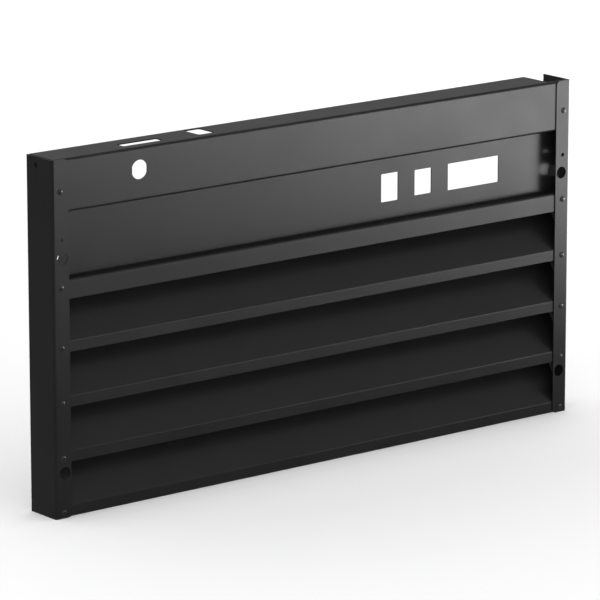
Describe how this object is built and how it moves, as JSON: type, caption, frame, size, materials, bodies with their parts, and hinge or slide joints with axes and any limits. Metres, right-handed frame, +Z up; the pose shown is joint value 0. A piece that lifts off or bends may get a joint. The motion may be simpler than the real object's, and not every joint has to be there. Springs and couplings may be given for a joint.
{
  "type": "louvred sheet metal panel",
  "caption": "Louvred sheet metal front panel: side angles, folded header with control and lock cut-outs, and sloping louvre blades, riveted together",
  "frame": {"origin": "middle of the width and of the depth, at the bottom edge of the side angles", "axes": "+X to the right seen from the front, along the louvres; +Y from the front to the back; +Z up"},
  "size_m": [0.686, 0.0441, 0.369],
  "materials": {
    "black_sheet": "black semi-gloss powder coat on folded mild steel sheet",
    "black_rivet": "blind rivet with a domed head, painted black with the panel",
    "rivet_stem": "dark steel stem broken off inside the rivet"
  },
  "bodies": {
    "root": {"left_side_angle": "black_sheet", "right_side_angle": "black_sheet", "header_panel": "black_sheet", "louvre_blade_1": "black_sheet", "louvre_blade_2": "black_sheet", "louvre_blade_3": "black_sheet", "louvre_blade_4": "black_sheet", "rivet_left_1": "black_rivet", "rivet_left_2": "black_rivet", "rivet_left_3": "black_rivet", "rivet_left_4": "black_rivet", "rivet_left_5": "black_rivet", "rivet_left_6": "black_rivet", "rivet_right_1": "black_rivet", "rivet_right_2": "black_rivet", "rivet_right_3": "black_rivet", "rivet_right_4": "black_rivet", "rivet_right_5": "black_rivet", "rivet_right_6": "black_rivet", "rivet_stem_left_1": "rivet_stem", "rivet_stem_left_2": "rivet_stem", "rivet_stem_left_3": "rivet_stem", "rivet_stem_left_4": "rivet_stem", "rivet_stem_left_5": "rivet_stem", "rivet_stem_left_6": "rivet_stem", "rivet_stem_right_1": "rivet_stem", "rivet_stem_right_2": "rivet_stem", "rivet_stem_right_3": "rivet_stem", "rivet_stem_right_4": "rivet_stem", "rivet_stem_right_5": "rivet_stem", "rivet_stem_right_6": "rivet_stem"}
  },
  "joints": []
}
